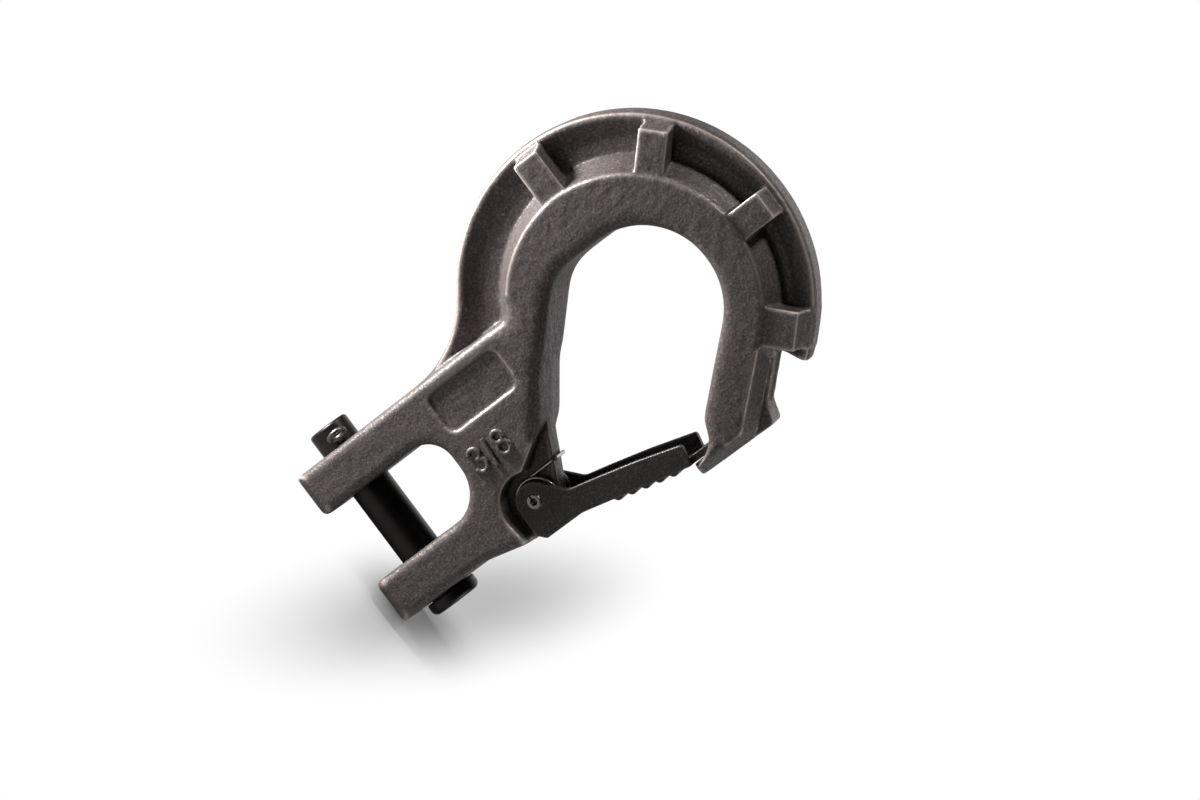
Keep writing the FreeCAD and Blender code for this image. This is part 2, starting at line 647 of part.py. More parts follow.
def shank_panel(body):
    """Plain sunk panel on the front of the shank."""
    sketch = new_sketch(body, "panel_outline",
                        offset=Placement(Vector(0, 0, value("body_thick / 2")), Rotation()))
    right = "panel_side + panel_width"
    top = "panel_foot + panel_length"
    outline(sketch, [
        ("panel_side", "panel_foot", "panel_corner"),
        (right, "panel_foot", "panel_corner"),
        (right, top, "panel_corner"),
        ("panel_side", top, "panel_corner")])
    pocket(body, sketch, "panel_depth", one_side=True)


def soft_edges(body):
    """Rounded edges: inner sides of the ear ends, the ring's outer edge, then ears and shank."""
    inner = value("clevis_gap / 2")
    ring = value("ring_radius")
    floor = value("gap_floor")
    round_edges(body, "ear_end_rounds", "ear_end_edge",
                lambda box, curve: abs(abs(box.Center.x) - inner) + box.XLength < NEAR
                and box.ZMax < 0 and box.YLength > NEAR)
    round_edges(body, "ring_rounds", "ring_edge",
                lambda box, curve: on_faces(box) and abs(getattr(curve, "Radius", 0) - ring) < NEAR)
    round_edges(body, "fork_rounds", "fork_edge",
                lambda box, curve: on_faces(box) and box.ZMin < floor + NEAR)


def build_hook_body():
    body = new_body("hook_body")
    bow_web_and_rim(body)
    bow_ring(body)
    hollow_corner(body)
    fork(body)
    nose_leg(body)
    nose_web(body)
    ribs(body)
    throat(body)
    clevis_slot(body)
    latch_seat(body)
    nose_slot(body)
    soft_edges(body)
    shank_panel(body)
    return body


def build_clevis_pin():
    """Headed pin, turned about X, cross-drilled near its free end."""
    body = new_body("clevis_pin")
    sketch = new_sketch(body, "pin_profile", "XY_Plane")
    seat = "%s + head_gap" % EAR
    outline(sketch, [
        (PIN_END, 0),
        ("%s + head_thick" % seat, 0),
        ("%s + head_thick" % seat, "head_radius", "head_edge"),
        (seat, "head_radius", "head_edge / 4"),
        (seat, "pin_diameter / 2"),
        (PIN_END, "pin_diameter / 2", "pin_edge")])
    revolve(body, sketch, "H_Axis")
    hole = new_sketch(body, "cotter_hole")
    circle(hole, (COTTER, 0), "cotter_diameter / 2 + cotter_play")
    pocket(body, hole)
    return lift_eye(body)


def lift_eye(body):
    """Turn the pin or its cotter about the pin, so that the cotter's eye stands up at the front."""
    body.Placement = Placement(Vector(), Rotation(Vector(1, 0, 0), -value("pin_turn")))
    return body


def build_cotter_pin():
    """Split pin: eye at the front, two half-round legs bent apart at the back."""
    body = new_body("cotter_pin")
    shank = new_sketch(body, "cotter_shank")
    circle(shank, (COTTER, 0), "cotter_diameter / 2")
    pad(body, shank, "pin_diameter + 2 * cotter_neck")
    tilt = math.radians(value("eye_tilt"))
    reach = value("eye_radius + eye_wire / 2")
    centre = Vector(value(COTTER), -value("pin_diameter / 2"), 0)
    centre -= Vector(math.sin(tilt), math.cos(tilt), 0) * reach
    eye = new_sketch(body, "cotter_eye", "XY_Plane",
                     Placement(centre, Rotation(Vector(0, 0, 1), -value("eye_tilt"))))
    circle(eye, (0, "-eye_radius"), "eye_wire / 2")
    revolve(body, eye, "H_Axis")
    flat = [("%s + cotter_diameter / 2" % COTTER, 0), ("%s - cotter_diameter / 2" % COTTER, 0)]
    for name, side in (("upper", 1), ("lower", -1)):
        first, second = flat[::side]
        section = new_sketch(body, name + "_leg_section",
                             offset=Placement(Vector(0, 0, -value("pin_diameter / 2")), Rotation()))
        outline(section, [first + (0, "cotter_diameter / 2"), second])
        path = new_sketch(body, name + "_leg_path", "YZ_Plane",
                          Placement(Vector(0, 0, value(COTTER)), Rotation()))
        leg_path(path, side)
        leg = body.newObject("PartDesign::AdditivePipe", name + "_leg")
        leg.Profile = section
        leg.Spine = (path, ["Edge1", "Edge2", "Edge3"])
        settle(body, leg, 1)
    return lift_eye(body)


def leg_path(sketch, side):
    """A short run out of the hole, a bend to one side, and the bent leg."""
    start = Vector(value("pin_diameter / 2"), 0, 0)
    first = start + Vector(value("leg_run"), 0, 0)
    bend = value("leg_bend")
    turn = math.radians(value("leg_spread"))
    centre = first + Vector(0, side * bend, 0)
    last = centre + Vector(math.sin(turn), -side * math.cos(turn), 0) * bend
    tip = last + Vector(math.cos(turn), side * math.sin(turn), 0) * value("leg_length")
    sketch.addGeometry(Part.LineSegment(start, first))
    sketch.addGeometry(arc_piece(centre, first, last, side > 0))
    sketch.addGeometry(Part.LineSegment(last, tip))


def thumb_face(inset=0):
    """The latch's thumb face from heel to tip, as corners of its outline."""
    lip = "nose_face - lip_wall - latch_gap - (%s)" % inset
    return [
        ("pivot_side + thumb_reach - (%s)" % inset, "pivot_height + thumb_start"),
        (lip, "pivot_height + latch_end")]


def build_latch():
    """Channel with two cheeks on the pivot pin, a serrated thumb face and a tip tab."""
    body = new_body("latch")
    side = new_sketch(body, "latch_side")
    boss_top = polar(PIVOT, "boss_radius", "boss_start")
    boss_low = polar(PIVOT, "boss_radius", "boss_end")
    foot, tip = thumb_face()
    outline(side, [
        ("pivot_side + heel_reach", "pivot_height - heel_depth", "latch_corner / 2"),
        (foot[0], "pivot_height - heel_depth + heel_bevel", "latch_corner"),
        (foot[0], foot[1], "thumb_round"),
        tip,
        ("%s - latch_end_width" % tip[0], "%s + cheek_slant" % tip[1], "latch_corner"),
        ("pivot_side + cheek_upper_side", "pivot_height + cheek_upper_height",
         "cheek_upper_round"),
        ("pivot_side + cheek_middle_side", "pivot_height + cheek_middle_height",
         "cheek_middle_round"),
        ("pivot_side + cheek_lower_side", "pivot_height + cheek_lower_height",
         "cheek_lower_round"),
        (boss_top[0], boss_top[1], 0, "boss_radius"),
        boss_low])
    pad(body, side, "latch_width")
    tooth = new_sketch(body, "serration")
    angle = "atan((%s - (%s)) / (%s - (%s)))" % (tip[0], foot[0], tip[1], foot[1])
    rise = "(grip_start - thumb_start)"
    circle(tooth, ("%s + %s * tan(%s) - grip_sunk" % (foot[0], rise, angle),
                   "%s + %s" % (foot[1], rise)), "grip_round")
    run = Vector(value("%s - (%s)" % (tip[0], foot[0])), value("%s - (%s)" % (tip[1], foot[1])), 0)
    line = tooth.addGeometry(Part.LineSegment(Vector(0, 0, 0), run), True)
    place_point(tooth, line, 1, (0, 0))
    place_point(tooth, line, 2, ("%s - (%s)" % (tip[0], foot[0]), "%s - (%s)" % (tip[1], foot[1])))
    ridge = pad(body, tooth, "latch_width - 2 * grip_margin")
    row = body.newObject("PartDesign::LinearPattern", "serrations")
    row.Originals = [ridge]
    row.Direction = (tooth, ["Axis0"])
    row.setExpression("Occurrences", bound("grip_teeth"))
    row.setExpression("Length", bound("grip_pitch * (grip_teeth - 1)"))
    settle(body, row, 1)
    inner_foot, inner_tip = thumb_face("latch_sheet")
    channel = new_sketch(body, "channel")
    low = "pivot_height - heel_depth - %g" % BITE
    high = "%s + %g" % (inner_tip[1], BITE)
    back = "pivot_side - boss_radius - %g" % BITE
    outline(channel, [
        (inner_foot[0], low),
        (inner_foot[0], inner_foot[1], "thumb_round - latch_sheet"),
        inner_tip,
        (inner_tip[0], high),
        (back, high),
        (back, low)])
    pocket(body, channel, "latch_width - 2 * latch_sheet")
    tab = new_sketch(body, "tip_tab")
    top = "%s + tab_length" % tip[1]
    outline(tab, [
        (inner_tip[0], "%s - latch_sheet" % tip[1]),
        (tip[0], tip[1]),
        (tip[0], top, "latch_corner"),
        (inner_tip[0], top, "latch_corner")])
    pad(body, tab, "tab_width")
    hole = new_sketch(body, "cheek_holes")
    circle(hole, PIVOT, "pivot_pin_radius + press_play")
    pocket(body, hole)
    return body


def build_latch_pivot_pin():
    """Hollow, slit pivot pin."""
    body = new_body("latch_pivot_pin")
    place = Placement(Vector(value("pivot_side"), 0, value("pivot_height")), Rotation())
    wall = new_sketch(body, "pivot_pin_wall_section", "XY_Plane", place)
    end = "latch_width / 2 + pivot_pin_proud"
    inside = "pivot_pin_radius - pivot_pin_wall"
    outline(wall, [
        (inside, "-(%s)" % end),
        ("pivot_pin_radius", "-(%s)" % end, "pivot_pin_wall / 2"),
        ("pivot_pin_radius", end, "pivot_pin_wall / 2"),
        (inside, end)])
    revolve(body, wall)
    slit = new_sketch(body, "pivot_pin_slit_outline")
    low, high = ["pivot_height %s pivot_pin_slit / 2" % sign for sign in "-+"]
    outside = "pivot_side - 2 * pivot_pin_radius"
    outline(slit, [(outside, low), ("pivot_side", low), ("pivot_side", high), (outside, high)])
    pocket(body, slit)
    return body


def build_latch_spring():
    """Double torsion spring: a bridge over the tongue, a coil each side, and two latch legs."""
    coil = value("coil_radius")
    pivot = Vector(value("pivot_side"), 0, value("pivot_height"))
    clear = "(lug_radius + wire_diameter / 2 + bridge_gap)"
    across = "(bridge_side - pivot_side) * cos(tongue_slope)"
    arm = Vector(value("bridge_side - pivot_side"), 0,
                 value("(%s - %s) / sin(tongue_slope)" % (clear, across)))
    layer = Vector(0, -value("(tongue_thick + wire_diameter) / 2 + coil_gap"), 0)
    start = math.degrees(math.atan2(arm.z, arm.x) + math.acos(coil / arm.Length))
    end = TURNS * 360 - value("spring_lean")
    drop = value("coil_pitch") * (end - start) / 360
    helix = Part.makeHelix(value("coil_pitch"), drop, coil)
    helix.Placement = Placement(pivot + layer,
                                Rotation(Vector(1, 0, 0), 90) * Rotation(Vector(0, 0, 1), start))
    lead = math.atan(value("coil_pitch") / (2 * math.pi * coil))
    on_coil = pivot + layer + spoke(start, coil)
    off_coil = pivot + layer + spoke(end, coil) + Vector(0, -drop, 0)
    ease_in, before_coil = ease(on_coil, spoke(start + 90, -1), Vector(0, 1, 0), lead)
    ease_out, after_coil = ease(off_coil, spoke(end + 90, 1), Vector(0, -1, 0), lead)
    tip = after_coil + spoke(end + 90, value("spring_leg"))
    corner = Vector(pivot.x + arm.x, before_coil.y, pivot.z + arm.z)
    bend = value("bridge_bend")
    down = (before_coil - corner).normalize()
    before = corner + Vector(0, bend, 0)
    after = corner + down * bend
    middle = corner + (Vector(0, 1, 0) + down) * (bend * (1 - math.sqrt(0.5)))
    half = [Part.Arc(before, middle, after).toShape(), Part.makeLine(after, before_coil), ease_in,
            helix.Edges[0], ease_out, Part.makeLine(after_coil, tip)]
    mirrored = [edge.mirror(Vector(), Vector(0, 1, 0)) for edge in half]
    bridge = Part.makeLine(Vector(before.x, -before.y, before.z), before)
    path = Part.Wire(Part.__sortEdges__(half + mirrored + [bridge]))
    section = Part.Wire([Part.makeCircle(value("wire_diameter / 2"), tip, spoke(end + 90, 1))])
    spring = doc.addObject("Part::Feature", "latch_spring")
    spring.Label = "latch_spring"
    spring.Shape = path.makePipeShell([section], True, False, 0)
    spring.Placement = Placement()
    return spring


def ease(coil_end, away, rise, lead):
    """A slight bend that takes the lead out of the wire where it leaves the coil.

    Away points along the wire away from the coil, and rise is the way that the lead carries it.
    """
    radius = value("ease_radius")
    flat_end = coil_end + away * (radius * math.sin(lead)) + rise * (radius * (1 - math.cos(lead)))
    half = lead / 2
    middle = flat_end - away * (radius * math.sin(half)) - rise * (radius * (1 - math.cos(half)))
    return Part.Arc(coil_end, middle, flat_end).toShape(), flat_end


def spoke(angle, radius):
    """A vector of that length in the XZ plane, at an angle from +X towards +Z."""
    turn = math.radians(angle)
    return Vector(math.cos(turn), 0, math.sin(turn)) * radius


def write_parts(parts):
    os.makedirs("parts", exist_ok=True)
    for item in doc.Objects:
        if "Invalid" in item.State or "Error" in item.State:
            raise RuntimeError("%s is in state %s" % (item.Label, item.State))
    for part in parts:
        if part.Shape.isNull() or not part.Shape.isValid():
            raise RuntimeError(part.Label + " has no valid shape")
    for part in parts:
        part.Shape.exportStep("parts/%s.step" % part.Label)


write_parts([
    build_hook_body(),
    build_clevis_pin(),
    build_cotter_pin(),
    build_latch(),
    build_latch_pivot_pin(),
    build_latch_spring()])
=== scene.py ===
"""Looks of a clevis slip hook for a winch line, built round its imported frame.

Metres, in the frame's axes: the origin is the clevis pin's centre, +Z is the line of pull, +X the
side of the latch, and the front faces -Y.
"""
import json
import math

import bmesh
import bpy
from mathutils import Matrix, Vector, kdtree, noise


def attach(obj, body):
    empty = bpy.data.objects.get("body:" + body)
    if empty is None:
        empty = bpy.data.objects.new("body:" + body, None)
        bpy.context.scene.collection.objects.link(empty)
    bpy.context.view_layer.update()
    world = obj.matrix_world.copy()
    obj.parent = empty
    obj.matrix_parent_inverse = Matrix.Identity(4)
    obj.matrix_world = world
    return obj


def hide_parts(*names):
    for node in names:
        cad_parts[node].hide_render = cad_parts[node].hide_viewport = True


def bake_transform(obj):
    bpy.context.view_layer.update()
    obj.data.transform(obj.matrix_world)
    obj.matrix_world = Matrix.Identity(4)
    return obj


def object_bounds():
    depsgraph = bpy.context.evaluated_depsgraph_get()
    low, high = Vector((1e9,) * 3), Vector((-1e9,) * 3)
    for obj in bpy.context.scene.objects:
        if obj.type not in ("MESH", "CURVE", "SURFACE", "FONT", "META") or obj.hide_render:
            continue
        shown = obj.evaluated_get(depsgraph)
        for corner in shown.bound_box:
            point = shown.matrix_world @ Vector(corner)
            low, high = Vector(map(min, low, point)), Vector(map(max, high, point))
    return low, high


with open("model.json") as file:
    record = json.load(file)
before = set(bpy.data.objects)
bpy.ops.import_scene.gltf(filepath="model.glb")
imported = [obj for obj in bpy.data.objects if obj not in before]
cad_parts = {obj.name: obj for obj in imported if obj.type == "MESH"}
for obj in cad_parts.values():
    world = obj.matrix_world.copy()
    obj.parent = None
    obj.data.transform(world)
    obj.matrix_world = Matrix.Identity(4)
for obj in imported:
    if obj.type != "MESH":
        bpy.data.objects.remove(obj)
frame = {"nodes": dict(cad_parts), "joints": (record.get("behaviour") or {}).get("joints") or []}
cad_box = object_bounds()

bl_info = {
    "name": "Winch hook",
    "version": (1, 0, 0),
    "blender": (4, 5, 0),
    "location": "View3D > Sidebar > Winch hook",
    "description": "Builds the forged hook, its pins, latch and spring on the packed frame",
    "category": "Object",
}

MM = 0.001
JOINTS = {joint["name"]: joint for joint in frame["joints"]}
PIVOT = Vector(JOINTS["latch_swing"]["pos_m"])

# Places on the forging's middle plane: centres of the throat, the bearing ring and the rim, and the
# corner where the ring meets the shank.
THROAT = Vector((4 * MM, 0, 90 * MM))
RING = Vector((-7 * MM, 0, 102 * MM))
RIM = Vector((-9 * MM, 0, 101 * MM))
RING_FOOT = Vector((-26 * MM, 0, 69 * MM))

# The ribs' angles about the ring's centre, in degrees from +X towards +Z. The last is the wide one.
RIB_ANGLES = (180, 135, 90, 45)

# The forging's edges that are rounded are sharper than EDGE_ANGLE, and run between a flat face and
# a wall at least WALL_DEPTH deep. A flat face lies within FACE_GAP of the frame's outer side, and its
# normal has at least FACE_LEVEL along Y. Edges that look away from the throat, or lie within
# SEAT_REACH of the latch's pivot, are rounded by OUTER_SHARE only.
EDGE_ANGLE = math.radians(40)
WALL_DEPTH = 4 * MM
FACE_GAP = 0.1 * MM
FACE_LEVEL = 0.99
SEAT_REACH = 26 * MM
OUTER_SHARE = 0.12

# Rounds of smoothing, and the share of a mesh's faces that is kept when it is thinned.
FORGING_ROUNDS = 7
THROAT_ROUNDS = 220
FORGING_KEEP = 0.47
LATCH_ROUNDS = 5
LATCH_KEEP = 0.7
MARK_ROUNDS = 2

# A point's rise is how far it stands out from its neighbours, as a share of the distance to them.
# Edges that stand out get a painted sheen, a highlight laid into their colour. It starts at the share
# SHEEN_START of the rise given here and is full one such rise further on; it then spreads to the
# neighbours SHEEN_SPREADS times.
FORGING_SHEEN_RISE = 0.09
LATCH_SHEEN_RISE = 0.14
SHEEN_START = 0.4
SHEEN_SPREADS = 2

# The spacing of the forging's unevenness, the angle over which the pins' edges stay sharp, and the
# distance under which the points of a CAD mesh are joined.
WAVE_SPACING = 9 * MM
SHARP_ANGLE = math.radians(32)
MERGE_DISTANCE = 0.001 * MM

# The raised trade size: its mesh, and the height of its first sign and the step from sign to sign.
MARK_MESH = 0.12 * MM
MARK_START = 36.9 * MM
MARK_STEP = 4.5 * MM
STROKE_ROUNDNESS = 4

# The latch spring. Its bridge lies on the tongue's flank, a plane that faces FLANK_FACING degrees
# from +X towards +Z. Places and distances are from the pivot. The coils end and the legs start at
# LEG_ANGLE, two turns less a little.
FLANK_FACING = 62
FLANK_AWAY = 6.3 * MM
FLANK_GAP = 0.1 * MM
BRIDGE_PLACE = -6.4 * MM
BRIDGE_BEND = 1.4 * MM
BEND_STEPS = 6
COIL_STEPS = 96
LEG_ANGLE = 720 - 8.8
WIRE_SIDES = 20

# The stage, in metres and degrees.
FLOOR_REACH = 8.0
KEY_FROM_THROAT = Vector((-0.285, -0.05, -0.07))
CAMERA_AIM = Vector((8.6 * MM, 0, 73 * MM))
CAMERA_AWAY = 0.953
CAMERA_TILT = 20


def linear(hex_colour):
    """Linear RGBA of an sRGB hex colour."""
    parts = [int(hex_colour[start:start + 2], 16) / 255 for start in (1, 3, 5)]
    return tuple(part / 12.92 if part <= 0.04045 else ((part + 0.055) / 1.055) ** 2.4
                 for part in parts) + (1.0,)


def size(name, default, description):
    """A length property in metres."""
    return bpy.props.FloatProperty(name=name, description=description, default=default,
                                   unit="LENGTH", precision=5)


def colour(name, hex_colour, description):
    """A colour property, from its sRGB hex value."""
    return bpy.props.FloatVectorProperty(name=name, description=description, size=4,
                                         subtype="COLOR", min=0, max=1, default=linear(hex_colour))


class HookSizes(bpy.types.PropertyGroup):
    """Sizes that the looks add to the frame."""
    forging_grain: size("Forging mesh", 0.45 * MM, "Edge length of the forging's mesh")
    forging_wave: size("Forging unevenness", 0.12 * MM, "Depth of the forging's slight unevenness")
    rib: size("Rib", 8.6 * MM, "Width of the bow's ribs")
    last_rib: size("Last rib", 11.4 * MM, "Width of the rib nearest the nose")
    rib_thick: size("Rib thickness", 23.8 * MM, "Thickness over the level tops of the ribs")
    rib_start: size("Rib start", 34 * MM, "Where a rib's top starts, from the ring's centre")
    rib_slant: size("Rib slant", 1.6 * MM, "Set back of a rib's top over its foot at the rim")
    rim_crest: size("Rim crest", 50.6 * MM, "Radius of the rim's crest")
    rim_thick: size("Rim thickness", 10.4 * MM, "Thickness of the rim")
    throat_round: size("Throat round", 7.0 * MM, "Reach of the rounding along the throat's edges")
    sheet_grain: size("Latch mesh", 0.2 * MM, "Edge length of the latch's mesh")
    mark_height: size("Mark height", 7.4 * MM, "Height of the raised trade size")
    mark_stroke: size("Mark stroke", 1.7 * MM, "Width of the mark's strokes")
    mark_raise: size("Mark relief", 0.75 * MM, "How far the mark stands off the face")
    wire: size("Spring wire", 1.1 * MM, "Diameter of the spring's wire")
    coil: size("Coil radius", 6.2 * MM, "Centre line of the spring's coils")
    coil_pitch: size("Coil pitch", 1.15 * MM, "Pitch of the spring's coils")
    tongue: size("Tongue", 8.6 * MM, "Thickness of the tongue between the coils")
    coil_gap: size("Coil gap", 0.2 * MM, "Gap between coil and tongue")
    spring_leg: size("Spring leg", 14 * MM, "Length of the legs that bear on the latch")


class HookColours(bpy.types.PropertyGroup):
    """Base colours of the finishes."""
    coat: colour("Forging coat", "#605856", "Dark grey conversion coat of the forging")
    # Also the base of the painted highlight on the forging's edges, made lighter still.
    crest_sheen: colour("Grain crest", "#A0958F", "Crests of the forging's blasted grain")
    pin: colour("Pin coat", "#353130", "Dark coat of the turned clevis pin")
    latch: colour("Latch coat", "#332E2D", "Dark coat of the pressed latch")
    # Also the base of the painted highlight on the latch's edges, made lighter still.
    latch_crest_sheen: colour("Latch crest", "#6A6260", "Crests of the latch's finer grain")
    wire: colour("Spring wire", "#CFCBC6", "Bright drawn wire")
    cotter: colour("Cotter wire", "#7C7876", "Oiled cotter wire")
    roll_pin: colour("Roll pin", "#A5A19D", "Rolled spring steel")
    # Grey rather than white, so that the floor's oval near the object reads as a painted shade.
    floor: colour("Floor", "#B8B8B8", "Pale studio floor")


def add(tree, kind, settings=None, links=None):
    """Add one node, with its settings (fields or input sockets) and its links."""
    node = tree.nodes.new(kind)
    for name, setting in (settings or {}).items():
        if isinstance(name, int) or name in node.inputs:
            node.inputs[name].default_value = setting
        else:
            setattr(node, name, setting)
    for name, socket in (links or {}).items():
        tree.links.new(socket, node.inputs[name])
    return node


def new_material(name):
    """A new material, its node tree and the socket of its object coordinates."""
    material = bpy.data.materials.new(name)
    material.use_nodes = True
    tree = material.node_tree
    tree.nodes.clear()
    place = add(tree, "ShaderNodeTexCoord").outputs["Object"]
    return material, tree, place


def made_material(name):
    """A material that an earlier operator made."""
    if name not in bpy.data.materials:
        raise RuntimeError("build the forging first: %s is missing" % name)
    return bpy.data.materials[name]


def shaded(tone, share):
    """A colour made darker or lighter by a share."""
    return tuple(share * part for part in tone[:3]) + (1.0,)


def coated_steel(name, base, crest, grit, bumps, roughness):
    """Coated steel with a blasted grain, a faint slow mottling and a painted sheen on its edges.

    Grit is the size of the grain and bumps the depth of its relief, in metres; the grain is drawn
    coarser than real so that it shows. Its crests are lighter and smoother than its hollows, and
    a mesh attribute says where the edges get a painted highlight, lighter still.
    """
    mottle_size = 7 * MM
    dent_size = 3.2 * MM
    hollow = shaded(base, 0.58)
    # Painted highlight for the edges: the crest colour made lighter still.
    sheen_tone = shaded(crest, 1.9)
    smooth, dull = roughness
    material, tree, place = new_material(name)
    grain = add(tree, "ShaderNodeTexNoise", {"Scale": 1 / grit, "Detail": 2.0, "Roughness": 0.6},
                {"Vector": place}).outputs["Fac"]
    mottle = add(tree, "ShaderNodeTexNoise", {"Scale": 1 / mottle_size, "Detail": 3.0},
                 {"Vector": place}).outputs["Fac"]
    dents = add(tree, "ShaderNodeTexNoise", {"Scale": 1 / dent_size, "Detail": 1.0},
                {"Vector": place}).outputs["Fac"]
    # Where the edges get the painted highlight, read from the mesh.
    crest_sheen = add(tree, "ShaderNodeAttribute", {"attribute_name": "painted_sheen"}).outputs["Fac"]
    risen = add(tree, "ShaderNodeMapRange", {"From Min": 0.36, "From Max": 0.56},
                {"Value": grain}).outputs["Result"]
    shade = add(tree, "ShaderNodeMix", {"data_type": "RGBA", 6: hollow, 7: base},
                {0: risen}).outputs[2]
    crested = add(tree, "ShaderNodeMapRange", {"From Min": 0.56, "From Max": 0.95},
                  {"Value": grain}).outputs["Result"]
    shade = add(tree, "ShaderNodeMix", {"data_type": "RGBA", 7: crest},
                {0: crested, 6: shade}).outputs[2]
    shade = add(tree, "ShaderNodeMix", {"data_type": "RGBA", 7: sheen_tone},
                {0: crest_sheen, 6: shade}).outputs[2]
    tint = add(tree, "ShaderNodeMapRange",
               {"From Min": 0.3, "From Max": 0.7, "To Min": 0.93, "To Max": 1.07},
               {"Value": mottle}).outputs["Result"]
    shade = add(tree, "ShaderNodeVectorMath", {"operation": "SCALE"},
                {0: shade, "Scale": tint}).outputs["Vector"]
    rough = add(tree, "ShaderNodeMapRange",
                {"From Min": 0.35, "From Max": 0.7, "To Min": dull, "To Max": smooth},
                {"Value": grain}).outputs["Result"]
    relief = add(tree, "ShaderNodeBump", {"Strength": 1.0, "Distance": bumps},
                 {"Height": grain}).outputs["Normal"]
    relief = add(tree, "ShaderNodeBump", {"Strength": 1.0, "Distance": 2.5 * bumps},
                 {"Height": dents, "Normal": relief}).outputs["Normal"]
    shader = add(tree, "ShaderNodeBsdfPrincipled", {"Metallic": 0.3},
                 {"Base Color": shade, "Roughness": rough, "Normal": relief}).outputs["BSDF"]
    add(tree, "ShaderNodeOutputMaterial", links={"Surface": shader})
    return material


def drawn_wire(name, base, roughness):
    """Drawn wire or rolled strip: bright, with die lines as a faint noise, coarser than real."""
    line_size = 0.4 * MM
    dull = shaded(base, 0.7)
    material, tree, place = new_material(name)
    lines = add(tree, "ShaderNodeTexNoise", {"Scale": 1 / line_size, "Detail": 2.0},
                {"Vector": place}).outputs["Fac"]
    risen = add(tree, "ShaderNodeMapRange", {"From Min": 0.35, "From Max": 0.65},
                {"Value": lines}).outputs["Result"]
    shade = add(tree, "ShaderNodeMix", {"data_type": "RGBA", 6: dull, 7: base},
                {0: risen}).outputs[2]
    rough = add(tree, "ShaderNodeMapRange",
                {"To Min": roughness - 0.06, "To Max": roughness + 0.08},
                {"Value": lines}).outputs["Result"]
    shader = add(tree, "ShaderNodeBsdfPrincipled", {"Metallic": 1.0},
                 {"Base Color": shade, "Roughness": rough}).outputs["BSDF"]
    add(tree, "ShaderNodeOutputMaterial", links={"Surface": shader})
    return material


def turned_steel(name, base, roughness):
    """Turned pin: fine tool marks round the axis, drawn coarser than real so that they show."""
    mark_pitch = 0.35 * MM
    mark_depth = 0.01 * MM
    mottle_size = 4 * MM
    dark = shaded(base, 0.7)
    material, tree, place = new_material(name)
    # Short along the pin's axis, which is X, and long across it, the noise makes rings.
    turned = add(tree, "ShaderNodeMapping", {"Scale": (1 / mark_pitch, 30.0, 30.0)},
                 {"Vector": place}).outputs["Vector"]
    marks = add(tree, "ShaderNodeTexNoise", {"Scale": 1.0, "Detail": 2.0},
                {"Vector": turned}).outputs["Fac"]
    mottle = add(tree, "ShaderNodeTexNoise", {"Scale": 1 / mottle_size, "Detail": 3.0},
                 {"Vector": place}).outputs["Fac"]
    risen = add(tree, "ShaderNodeMapRange", {"From Min": 0.3, "From Max": 0.7},
                {"Value": mottle}).outputs["Result"]
    shade = add(tree, "ShaderNodeMix", {"data_type": "RGBA", 6: dark, 7: base},
                {0: risen}).outputs[2]
    rough = add(tree, "ShaderNodeMapRange",
                {"To Min": roughness - 0.08, "To Max": roughness + 0.1},
                {"Value": mottle}).outputs["Result"]
    relief = add(tree, "ShaderNodeBump", {"Strength": 1.0, "Distance": mark_depth},
                 {"Height": marks}).outputs["Normal"]
    shader = add(tree, "ShaderNodeBsdfPrincipled", {"Metallic": 0.8},
                 {"Base Color": shade, "Roughness": rough, "Normal": relief}).outputs["BSDF"]
    add(tree, "ShaderNodeOutputMaterial", links={"Surface": shader})
    return material


def show(name, mesh, material):
    """Link a new object with that mesh, shaded smooth, in one material."""
    mesh.name = name
    mesh.materials.clear()
    mesh.materials.append(material)
    mesh.polygons.foreach_set("use_smooth", [True] * len(mesh.polygons))
    piece = bpy.data.objects.new(name, mesh)
    bpy.context.scene.collection.objects.link(piece)
    return piece


def settle(piece, body, node):
    """Hand a finished piece over: the body it rides on, and the node it stands for, which is hidden.
    """
    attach(piece, body)
    if node:
        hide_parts(node)


def merged(node):
    """A copy of a node's mesh, its loose triangles joined, without stored maps and normals."""
    mesh = frame["nodes"][node].data.copy()
    for layer in list(mesh.uv_layers):
        mesh.uv_layers.remove(layer)
    work = bmesh.new()
    work.from_mesh(mesh)
    bmesh.ops.remove_doubles(work, verts=work.verts, dist=MERGE_DISTANCE)
    work.to_mesh(mesh)
    work.free()
    if mesh.has_custom_normals:
        mesh.attributes.remove(mesh.attributes["custom_normal"])
    return mesh


def evaluated(data, modifiers=(), weights=()):
    """The mesh that modifiers make of a mesh or curve; weights fill the vertex group "soft"."""
    piece = bpy.data.objects.new("work", data)
    bpy.context.scene.collection.objects.link(piece)
    if weights:
        group = piece.vertex_groups.new(name="soft")
        for index, weight in weights:
            group.add([index], weight, "REPLACE")
    for kind, settings in modifiers:
        modifier = piece.modifiers.new(kind, kind)
        for name, setting in settings.items():
            setattr(modifier, name, setting)
    graph = bpy.context.evaluated_depsgraph_get()
    result = bpy.data.meshes.new_from_object(piece.evaluated_get(graph), depsgraph=graph)
    bpy.data.objects.remove(piece)
    return result


def smoothing(rounds, group=""):
    """The smooth modifier for evaluated, over the whole mesh or by the weights of a group."""
    return ("SMOOTH", {"factor": 0.5, "iterations": rounds, "vertex_group": group})


def softened(mesh, edge, rounds):
    """The mesh rebuilt with even faces and rounded edges, as a forging or pressing has."""
    rebuilt = ("REMESH", {"mode": "VOXEL", "voxel_size": edge, "adaptivity": 0.0})
    return evaluated(mesh, [rebuilt, smoothing(rounds)])


def spoke(angle, length=1.0):
    """A vector of that length in the XZ plane, at an angle in degrees from +X towards +Z."""
    turn = math.radians(angle)
    return Vector((math.cos(turn), 0, math.sin(turn))) * length


